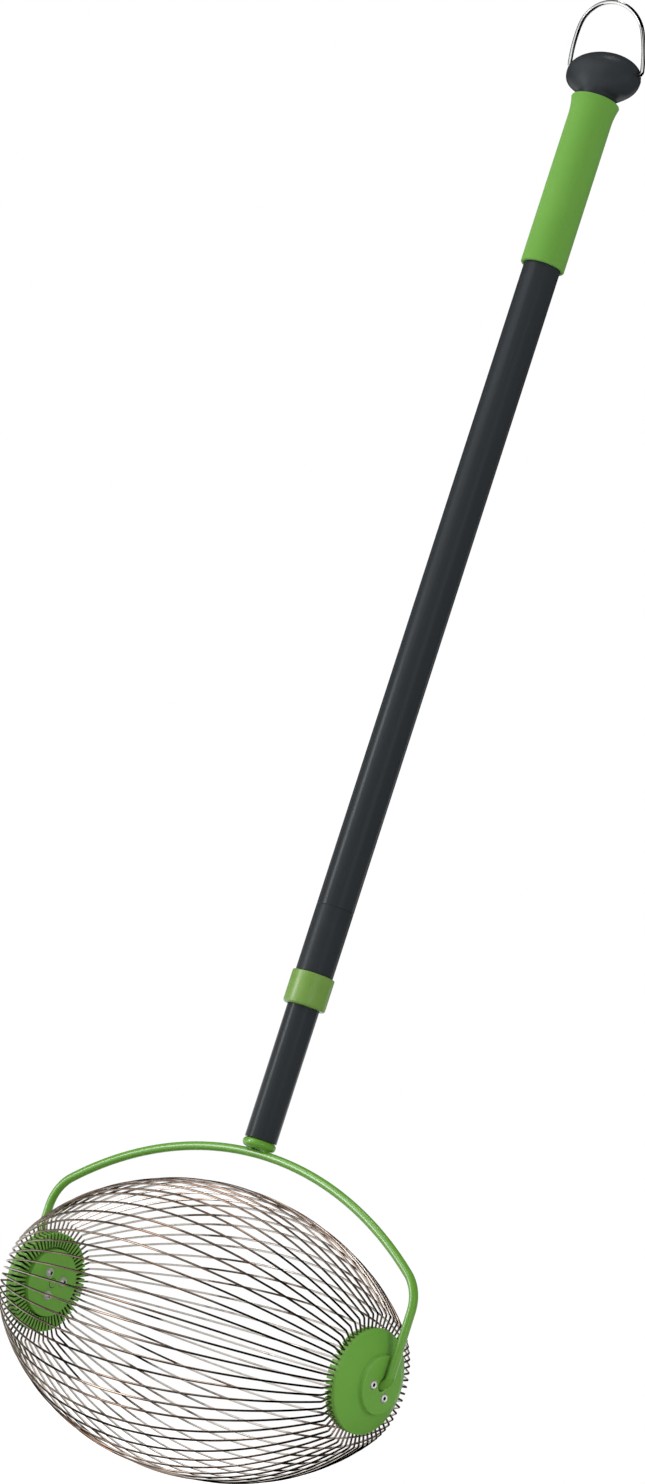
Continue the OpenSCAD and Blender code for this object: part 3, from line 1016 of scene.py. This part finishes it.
    def socket(self) -> BMesh:
        """The six-sided recess in a screw's head.

        Returns:
            The solid to take away.
        """
        floor = self.head_top - self.socket_depth
        top = self.head_top + self.head
        return turned((
            (0.0, floor), (self.socket_radius, floor), (self.socket_radius, top), (0.0, top)),
            self.socket_sides)

    def domed_nut(self) -> BMesh:
        """A domed nut on the inner plate, with a hollow in its crown.

        Returns:
            The nut.
        """
        base = self.nut * self.nut_base
        bow = (self.nut_radius ** 2 + (self.nut - base) ** 2) / (2 * (self.nut - base))
        edge = math.degrees(math.asin((base - self.nut + bow) / bow))
        cap = [point for point in arc(flat(0, self.nut - bow), bow, edge, 90, self.nut_steps)
               if point.x > self.hollow_radius]
        lip = cap[-1].z
        floor = lip - self.hollow_depth
        made = turned((
            (0.0, 0.0), (self.nut_radius, 0.0), *sharp(cap), (self.hollow_radius, lip),
            (self.hollow_radius, floor), (0.0, floor)), self.screw_faces)
        made.transform(Matrix.Translation((0, 0, self.inner)) @ Matrix.Diagonal((1, 1, -1, 1)))
        bmesh.ops.recalc_face_normals(made, faces=made.faces)
        return made

    def cup(self) -> BMesh:
        """Makes the domed cup, with a pocket for each screw's head and a rib between each two wires.

        Returns:
            The cup in the hub's frame.
        """
        shell = loose("shell", self.shell())
        cut(shell, self.at_screws(self.pocket))
        ribs = loose("ribs", join([self.rib_block(index) for index in range(self.ribs)]))
        soften(ribs, self.rib_round)
        return merged((shell, ribs))

    def inner_plate(self) -> BMesh:
        """Turns the plate that presses the wires' feet into the ribs.

        Returns:
            The plate in the hub's frame.
        """
        ring = self.plate_radius - self.plate_ring
        seat = -self.slot_floor
        floor = self.plate_fit - self.rib
        return turned((
            (self.bore, self.inner, self.head_round), (self.plate_radius, self.inner, self.plate_round),
            (self.plate_radius, seat), (ring, seat), (ring, floor), (self.bore, floor)))

    def socket_screws(self) -> BMesh:
        """Makes the screws, with a socket in each head.

        Returns:
            The screws in the hub's frame.
        """
        heads = loose("heads", join(self.at_screws(self.screw)))
        cut(heads, self.at_screws(self.socket))
        return merged((heads,))

    def build(self) -> None:
        """Builds and dresses the hub's pieces."""
        end = self.side.label
        for name, made, finish in (
                ("cup", self.cup(), HUB_PLASTIC), ("plate", self.inner_plate(), HUB_PLASTIC),
                ("screws", self.socket_screws(), BRIGHT_STEEL),
                ("nuts", join(self.at_screws(self.domed_nut)), BRIGHT_STEEL)):
            made.transform(self.frame_to_part)
            piece(f"{name}_{end}", made, finish, self.body, f"hub_{name}_{end}")
        dress_solid(f"axle_bush_{end}", HUB_PLASTIC)


@dataclass
class Yoke:
    """The bent rod over the cage, the button on it and the weld between them."""

    axle: Vector
    body: str = "yoke"
    rod_radius: float = 0.003
    height: float = 0.1217
    half_width: float = 0.163
    arch_radius: float = 0.258
    arch_steps: int = 60
    corner_radius: float = 0.028
    corner_steps: int = 14
    stub_bend: float = 0.007
    stub_inner: float = 0.13745
    stub_steps: int = 12
    button_radius: float = 0.0115
    button: float = 0.00625
    button_seat: float = 0.00005
    button_steps: int = 20
    spigot: float = 0.028
    spigot_radius: float = 0.01005
    bead_radius: float = 0.0024
    bead_front: float = 0.8
    bead_back: float = 0.86
    bead_spread: float = 0.3
    bead_from: float = 0.0054
    bead_pitch: float = 0.0022
    bead_rows: int = 2
    bead_grain: float = 0.00022
    ease_rounds: int = 4
    sides: int = 28
    button_low: float = field(init=False)

    def __post_init__(self) -> None:
        """Works out how high over the axle the button sits on the rod."""
        self.button_low = self.height + self.rod_radius + self.button_seat

    def rod_line(self) -> list[Vector]:
        """The rod's centre line from one axle stub to the other.

        Returns:
            The line's points.
        """
        reach = self.half_width - self.corner_radius
        rise = math.sqrt((self.arch_radius - self.corner_radius) ** 2 - reach ** 2)
        turn = math.degrees(math.atan2(reach, rise))
        base = self.height - self.arch_radius
        bend = self.half_width - self.stub_bend
        right = [flat(self.stub_inner, 0)]
        right += arc(flat(bend, self.stub_bend), self.stub_bend, -90, 0, self.stub_steps)
        right += arc(flat(reach, base + rise), self.corner_radius, 0, 90 - turn, self.corner_steps)
        arch = arc(flat(0, base), self.arch_radius, 90 - turn, 90 + turn, self.arch_steps)
        return [self.axle + point for point in mirrored(right, arch[1:-1])]

    def ferrule(self) -> BMesh:
        """Turns the button, with its spigot up into the pole.

        Returns:
            The button.
        """
        top = self.button_low + self.button
        side = self.button / 2
        rim = arc(flat(self.button_radius - side, self.button_low + side), side, -90, 90, self.button_steps)
        made = turned((
            (0.0, self.button_low), *sharp(rim), (self.spigot_radius, top),
            (self.spigot_radius, top + self.spigot), (0.0, top + self.spigot)))
        made.transform(Matrix.Translation(self.axle))
        return made

    def weld(self) -> Object:
        """Piles up the weld's beads on both sides of the pole.

        Returns:
            The weld.
        """
        beads = bmesh.new()
        pair = ((-self.bead_spread, self.bead_front), (self.bead_spread, self.bead_back))
        for side in Side:
            for row in range(self.bead_rows):
                for depth, share in pair:
                    across = side.value * (self.bead_from + (row + depth / 2) * self.bead_pitch)
                    place = self.axle + Vector((across, depth * self.bead_radius, self.button_low))
                    bmesh.ops.create_icosphere(
                        beads, subdivisions=3, radius=self.bead_radius * share,
                        matrix=Matrix.Translation(place))
        item = loose("weld", beads)
        configure(item.modifiers.new("flow", "REMESH"), mode="VOXEL", voxel_size=self.bead_grain)
        configure(item.modifiers.new("ease", "SMOOTH"), iterations=self.ease_rounds)
        settle(item)
        return item

    def build(self) -> None:
        """Builds and dresses the yoke's pieces."""
        rod = sweep(self.rod_line(), self.rod_radius, self.sides)
        piece("rod", rod, GREEN_COAT, self.body, "yoke_rod")
        piece("button", self.ferrule(), GREEN_COAT, self.body, "yoke_ferrule")
        piece("weld", self.weld(), GREEN_COAT, self.body, "yoke_weld")


@dataclass
class Pole:
    """The telescopic pole: two tubes, a lock sleeve and a twist collar."""

    lower_radius: float = 0.0111
    upper_radius: float = 0.013
    wall: float = 0.001
    tube_round: float = 0.00025
    joint_round: float = 0.0007
    nose_radius: float = 0.0126
    slide_radius: float = 0.0112
    collar_radius: float = 0.0147
    collar_bore: float = 0.0127
    collar_mouth: float = 0.0114
    collar_round: float = 0.0017
    collar_edge: float = 0.0008
    collar_lip: float = 0.002

    def tube(self, node: str, radius: float) -> BMesh:
        """Turns a plain tube between a solid's two ends.

        Args:
            node: The solid that it follows.
            radius: The tube's outer radius.

        Returns:
            The tube.
        """
        low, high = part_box(node)
        inner = radius - self.wall
        edge = self.tube_round
        return turned((
            (inner, low.z, edge), (radius, low.z, edge), (radius, high.z, edge), (inner, high.z, edge)))

    def sleeve(self) -> BMesh:
        """Turns the lock sleeve, flush with the upper tube and stepped inside the collar.

        Returns:
            The sleeve.
        """
        low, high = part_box("lock_sleeve")
        joint_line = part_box("upper_tube")[0].z
        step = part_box("twist_collar")[1].z + self.tube_round
        spigot = self.upper_radius - self.wall
        return turned((
            (self.slide_radius, low.z), (self.nose_radius, low.z), (self.nose_radius, step),
            (self.upper_radius, step, self.tube_round), (self.upper_radius, joint_line, self.joint_round),
            (spigot, joint_line), (spigot, high.z), (self.slide_radius, high.z)))

    def collar(self) -> BMesh:
        """Turns the twist collar, rounded at both edges.

        Returns:
            The collar.
        """
        low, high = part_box("twist_collar")
        lip = low.z + self.collar_lip
        return turned((
            (self.collar_mouth, low.z, self.tube_round), (self.collar_radius, low.z, self.collar_round),
            (self.collar_radius, high.z, self.collar_edge), (self.collar_bore, high.z, self.tube_round),
            (self.collar_bore, lip), (self.collar_mouth, lip)))

    def build(self) -> None:
        """Builds and dresses the pole's pieces."""
        lower = self.tube("lower_tube", self.lower_radius)
        piece("tube_lower", lower, TUBE_COAT, "yoke", "lower_tube")
        upper = self.tube("upper_tube", self.upper_radius)
        piece("tube_upper", upper, TUBE_COAT, "handle", "upper_tube")
        piece("sleeve", self.sleeve(), DARK_PLASTIC, "handle", "lock_sleeve")
        piece("collar", self.collar(), COLLAR_PLASTIC, "collar", "twist_collar")
        for node in ("guide_bush", "lock_ring"):
            dress_solid(node, BUSH_PLASTIC)


@dataclass
class Handle:
    """The soft grip and the oval knob over it."""

    body: str = "handle"
    grip_radius: float = 0.01565
    flare_radius: float = 0.0176
    flare: float = 0.014
    flare_steps: int = 16
    flare_tuck: float = 0.0004
    grip_bore: float = 0.01305
    grip_round: float = 0.0016
    bore_round: float = 0.0008
    knob_half: float = 0.0284
    knob_radius: float = 0.0166
    knob_rise: float = 0.02
    # How full the knob is below and above its middle, where 2 is a plain oval
    belly: float = 2.5
    crown: float = 2.0
    neck_radius: float = 0.014
    spigot: float = 0.034
    spigot_radius: float = 0.01195
    neck_blend: float = 0.0035
    notch_across: float = 0.0258
    notch_depth: float = 0.003
    notch_round: float = 0.0006
    notch_segments: int = 3
    rings: int = 60
    faces: int = 96

    def grip(self) -> BMesh:
        """Turns the grip, with rounded lips and a flared top.

        Returns:
            The grip.
        """
        low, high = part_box("grip")
        step = self.flare_radius - self.grip_radius
        bow = (self.flare ** 2 + step ** 2) / (2 * step)
        swing = math.degrees(math.asin(self.flare / bow))
        middle = flat(self.grip_radius + bow, high.z - self.flare)
        flare = arc(middle, bow, 180, 180 - swing, self.flare_steps)
        return turned((
            (self.grip_bore, low.z, self.bore_round), (self.grip_radius, low.z, self.grip_round),
            *sharp(flare[:-1]), (flare[-1].x - self.flare_tuck, flare[-1].z, self.grip_round),
            (self.grip_bore, high.z, self.bore_round)))

    def knob(self, top: float) -> BMesh:
        """Lofts the knob from its round neck to its oval body.

        Args:
            top: Height of the grip's top.

        Returns:
            The knob, without its notches.
        """
        centre = top + self.knob_rise
        made = bmesh.new()
        foot = self.spigot_radius
        rings = [self.oval(made, level, foot, foot) for level in (top - self.spigot, top)]
        for index in range(self.rings):
            turn = math.pi * index / self.rings
            level = max(centre - self.knob_radius * math.cos(turn), top)
            power = self.belly if level < centre else self.crown
            share = max(1 - abs((level - centre) / self.knob_radius) ** power, 0.0) ** (1 / power)
            neck = self.neck_radius if level < centre else 0.0
            across = self.smooth_most(self.knob_half * share, neck)
            rings.append(self.oval(made, level, across, self.smooth_most(self.knob_radius * share, neck)))
        skin(made, rings)
        bmesh.ops.remove_doubles(made, verts=made.verts, dist=TINY)
        bmesh.ops.recalc_face_normals(made, faces=made.faces)
        return made

    def oval(self, made: BMesh, level: float, across: float, deep: float) -> list[BMVert]:
        """Adds one level ring to the knob, with its half widths along and across the bail's axis."""
        turns = [math.tau * i / self.faces for i in range(self.faces)]
        return [made.verts.new((across * math.cos(a), deep * math.sin(a), level)) for a in turns]

    def smooth_most(self, one: float, other: float) -> float:
        """The larger of two sizes, or a little more where they are near."""
        near = max(self.neck_blend - abs(one - other), 0.0) / self.neck_blend
        return max(one, other) + near ** 2 * self.neck_blend / 4

    def build(self) -> None:
        """Builds and dresses the grip and the knob."""
        piece("hand_grip", self.grip(), GRIP_RUBBER, self.body, "grip")
        item = loose("oval_knob", self.knob(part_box("upper_tube")[1].z))
        floor = joint_place("bail_swing").z - self.notch_depth
        half = self.knob_half
        notches = []
        for side in Side:
            block = bmesh.new()
            bmesh.ops.create_cube(block, size=2.0)
            place = Matrix.Translation((side.value * (self.notch_across + half), 0, floor + half))
            block.transform(place @ Matrix.Scale(half, 4))
            notches.append(block)
        cut(item, notches)
        soften(item, self.notch_round, self.notch_segments)
        item.data.transform(joint_turn("bail_swing"))
        piece("oval_knob", item, DARK_PLASTIC, self.body, "end_knob")


@dataclass
class Bail:
    """The plated wire loop that the tool hangs by."""

    pivot: Vector
    body: str = "bail"
    wire_radius: float = 0.0015
    half_width: float = 0.0288
    height: float = 0.048
    crown_radius: float = 0.026
    crown_steps: int = 40
    leg_steps: int = 16
    foot_bend: float = 0.0024
    foot_steps: int = 10
    pin: float = 0.0072
    lean: float = 21.0
    sides: int = 20

    def line(self) -> list[Vector]:
        """The wire's centre line from one pin to the other.

        Returns:
            The line's points about the pivot, with the loop upright.
        """
        crown = self.height - self.crown_radius
        step = crown - self.foot_bend
        leg = self.half_width ** 2 + step ** 2 - self.crown_radius ** 2
        leg /= 2 * (self.half_width - self.crown_radius)
        turn = math.degrees(math.atan2(step, leg - self.half_width))
        foot = self.half_width - self.foot_bend
        right = [flat(foot - self.pin, 0)]
        right += arc(flat(foot, self.foot_bend), self.foot_bend, -90, 0, self.foot_steps)
        right += arc(flat(self.half_width - leg, self.foot_bend), leg, 0, turn, self.leg_steps)[1:]
        top = arc(flat(0, crown), self.crown_radius, turn, 180 - turn, self.crown_steps)
        return mirrored(right, top[1:-1])

    def build(self) -> None:
        """Builds and dresses the bail."""
        wire = sweep(self.line(), self.wire_radius, self.sides)
        lean = Matrix.Rotation(math.radians(self.lean), 4, "X")
        wire.transform(Matrix.Translation(self.pivot) @ joint_turn("bail_swing") @ lean)
        piece("hanging_bail", wire, BAIL_CHROME, self.body, "bail")


@dataclass(frozen=True)
class Panel:
    """A light or a card of the studio: its middle, the point that it faces and its size."""

    name: str
    place: Triple
    aim: Triple
    width: float
    height: float

    def stand(self) -> Matrix:
        """Where the panel hangs, turned to the point that it faces."""
        turn = (Vector(self.aim) - Vector(self.place)).to_track_quat("-Z", "Y")
        return Matrix.Translation(self.place) @ turn.to_matrix().to_4x4()

    def build(self) -> None:
        """Hangs the panel, in each kind's own way."""
        raise NotImplementedError


@dataclass(frozen=True)
class Lamp(Panel):
    """A soft light."""

    power: float
    reflects: bool = True

    def build(self) -> None:
        """Hangs the light."""
        light = bpy.data.lights.new(self.name, "AREA")
        configure(light, shape="RECTANGLE", size=self.width, size_y=self.height, energy=self.power)
        item = bpy.data.objects.new(self.name, light)
        item.matrix_world = self.stand()
        item.visible_glossy = self.reflects
        bpy.context.scene.collection.objects.link(item)


@dataclass(frozen=True)
class Card(Panel):
    """A card that shiny metal reflects, out of the camera's sight, and how pale it is."""

    glow: float = 0.0

    def build(self) -> None:
        """Hangs the card."""
        made = bmesh.new()
        bmesh.ops.create_grid(made, x_segments=1, y_segments=1, size=0.5)
        item = loose(self.name, made)
        item.matrix_world = self.stand() @ Matrix.Diagonal((self.width, self.height, 1.0, 1.0))
        cloth, wiring = blank(self.name + "_cloth")
        shade = wiring.add("ShaderNodeEmission", {"Strength": self.glow})
        wiring.add("ShaderNodeOutputMaterial", {"Surface": shade.outputs["Emission"]})
        item.data.materials.append(cloth)
        configure(item, visible_camera=False, visible_diffuse=False, visible_shadow=False)


# Points that the studio's panels face
MIDDLE = (0.0, 0.0, 0.5)
CROWN = (0.0, 0.0, 1.0)
PANELS = (
    Lamp("key", (-1.48, -1.89, 0.45), MIDDLE, 0.6, 1.3, power=24.0),
    Lamp("strip", (-1.52, -1.95, 2.35), MIDDLE, 3.0, 0.7, power=38.0),
    Lamp("crown", (-0.29, -0.26, 2.28), CROWN, 0.4, 0.25, power=2.5),
    Lamp("fill", (2.5, -0.9, 0.9), MIDDLE, 0.8, 2.2, power=20.0, reflects=False),
    Card("flag_right", (1.4, 0.8, 1.3), MIDDLE, 4.2, 2.4),
    Card("flag_camera", (1.38, -3.1, 0.9), MIDDLE, 3.4, 3.4),
    Card("flag_front", (2.6, -1.55, 2.6), MIDDLE, 1.4, 1.4),
    Card("flag_left", (-2.5, -0.72, 1.4), MIDDLE, 2.3, 2.2),
    Card("flag_back", (-1.6, 1.9, 1.55), MIDDLE, 4.4, 2.2),
    Card("flag_top", (0.0, 0.0, 2.6), MIDDLE, 7.0, 7.0),
    Card("flag_floor", (1.5, 0.3, 0.004), (1.5, 0.3, 1.0), 3.4, 4.2),
    Card("flag_pale", (-0.62, -0.79, 0.84), CROWN, 0.7, 0.34, glow=0.8),
    Card("flag_grey", (-0.49, -0.62, 1.45), CROWN, 1.3, 0.36, glow=0.45))


@dataclass
class Studio:
    """The pale floor, the white surround, the lights and the camera."""

    eye: Triple = (1.71915, -2.0573, 0.05745)
    eye_right: Triple = (0.7526, 0.5834, 0.3053)
    eye_up: Triple = (-0.1334, -0.3189, 0.9383)
    lens: float = 97.04
    film: float = 36.0
    nearest: float = 0.05
    farthest: float = 50.0
    floor_half: float = 6.0
    floor_tone: float = 0.8
    floor_glow: float = 0.62
    fill: float = 0.5
    panels: tuple[Panel, ...] = PANELS

    def camera(self) -> None:
        """Sets the camera where the photograph was taken."""
        lens = bpy.data.cameras.new("camera")
        configure(lens, lens=self.lens, sensor_width=self.film)
        configure(lens, clip_start=self.nearest, clip_end=self.farthest)
        item = bpy.data.objects.new("camera", lens)
        right = Vector(self.eye_right).normalized()
        back = right.cross(Vector(self.eye_up)).normalized()
        turn = Matrix((right, back.cross(right), back)).transposed()
        item.matrix_world = Matrix.Translation(self.eye) @ turn.to_4x4()
        bpy.context.scene.collection.objects.link(item)
        bpy.context.scene.camera = item

    def seen(self, wiring: Wiring) -> NodeSocket:
        """Tells the rays that look at the surround from those that only light the tool.

        Args:
            wiring: The wiring to add to.

        Returns:
            A socket that is 1 for the rays that look.
        """
        ray = wiring.add("ShaderNodeLightPath").outputs
        first = wiring.reckon("MAXIMUM", ray["Is Camera Ray"], ray["Is Glossy Ray"])
        return wiring.reckon("MAXIMUM", first, ray["Is Transmission Ray"])

    def surround(self) -> None:
        """Makes a white surround that lights the tool gently."""
        world = bpy.data.worlds.new("surround")
        bpy.context.scene.world = world
        world.use_nodes = True
        wiring = Wiring(world.node_tree)
        light = wiring.add("ShaderNodeBackground", {"Color": WHITE, "Strength": self.fill})
        view = wiring.add("ShaderNodeBackground", {"Color": WHITE, "Strength": 1.0})
        mix = wiring.add("ShaderNodeMixShader", {
            0: self.seen(wiring), 1: light.outputs["Background"], 2: view.outputs["Background"]})
        wiring.add("ShaderNodeOutputWorld", {"Surface": mix.outputs["Shader"]})

    def floor(self) -> None:
        """Lays a pale floor that fades into the surround and keeps the tool's shadow."""
        made = bmesh.new()
        bmesh.ops.create_grid(made, x_segments=1, y_segments=1, size=self.floor_half)
        item = loose("floor", made)
        coat, wiring = blank("floor_paper")
        tone = self.floor_tone
        paper = wiring.add("ShaderNodeBsdfDiffuse", {"Color": (tone, tone, tone, 1.0)})
        strength = wiring.reckon("MULTIPLY", self.seen(wiring), self.floor_glow)
        glow = wiring.add("ShaderNodeEmission", {"Color": WHITE, "Strength": strength})
        both = wiring.add("ShaderNodeAddShader", {0: paper.outputs["BSDF"], 1: glow.outputs["Emission"]})
        wiring.add("ShaderNodeOutputMaterial", {"Surface": both.outputs["Shader"]})
        item.data.materials.append(coat)

    def build(self) -> None:
        """Sets up the whole studio."""
        bpy.context.scene.view_settings.view_transform = "Standard"
        self.camera()
        self.surround()
        self.floor()
        for panel in self.panels:
            panel.build()


def main() -> None:
    """Builds the studio and the tool's sub-assemblies in order."""
    logging.basicConfig(level=logging.INFO, format="%(message)s")
    axle = joint_place("basket_spin")
    Studio().build()
    Cage(axle).build()
    Hub(axle, Side.LEFT, turn=71.0).build()
    Hub(axle, Side.RIGHT, turn=98.0).build()
    Yoke(axle).build()
    Pole().build()
    Handle().build()
    Bail(joint_place("bail_swing")).build()


if __name__ == "__main__":
    main()
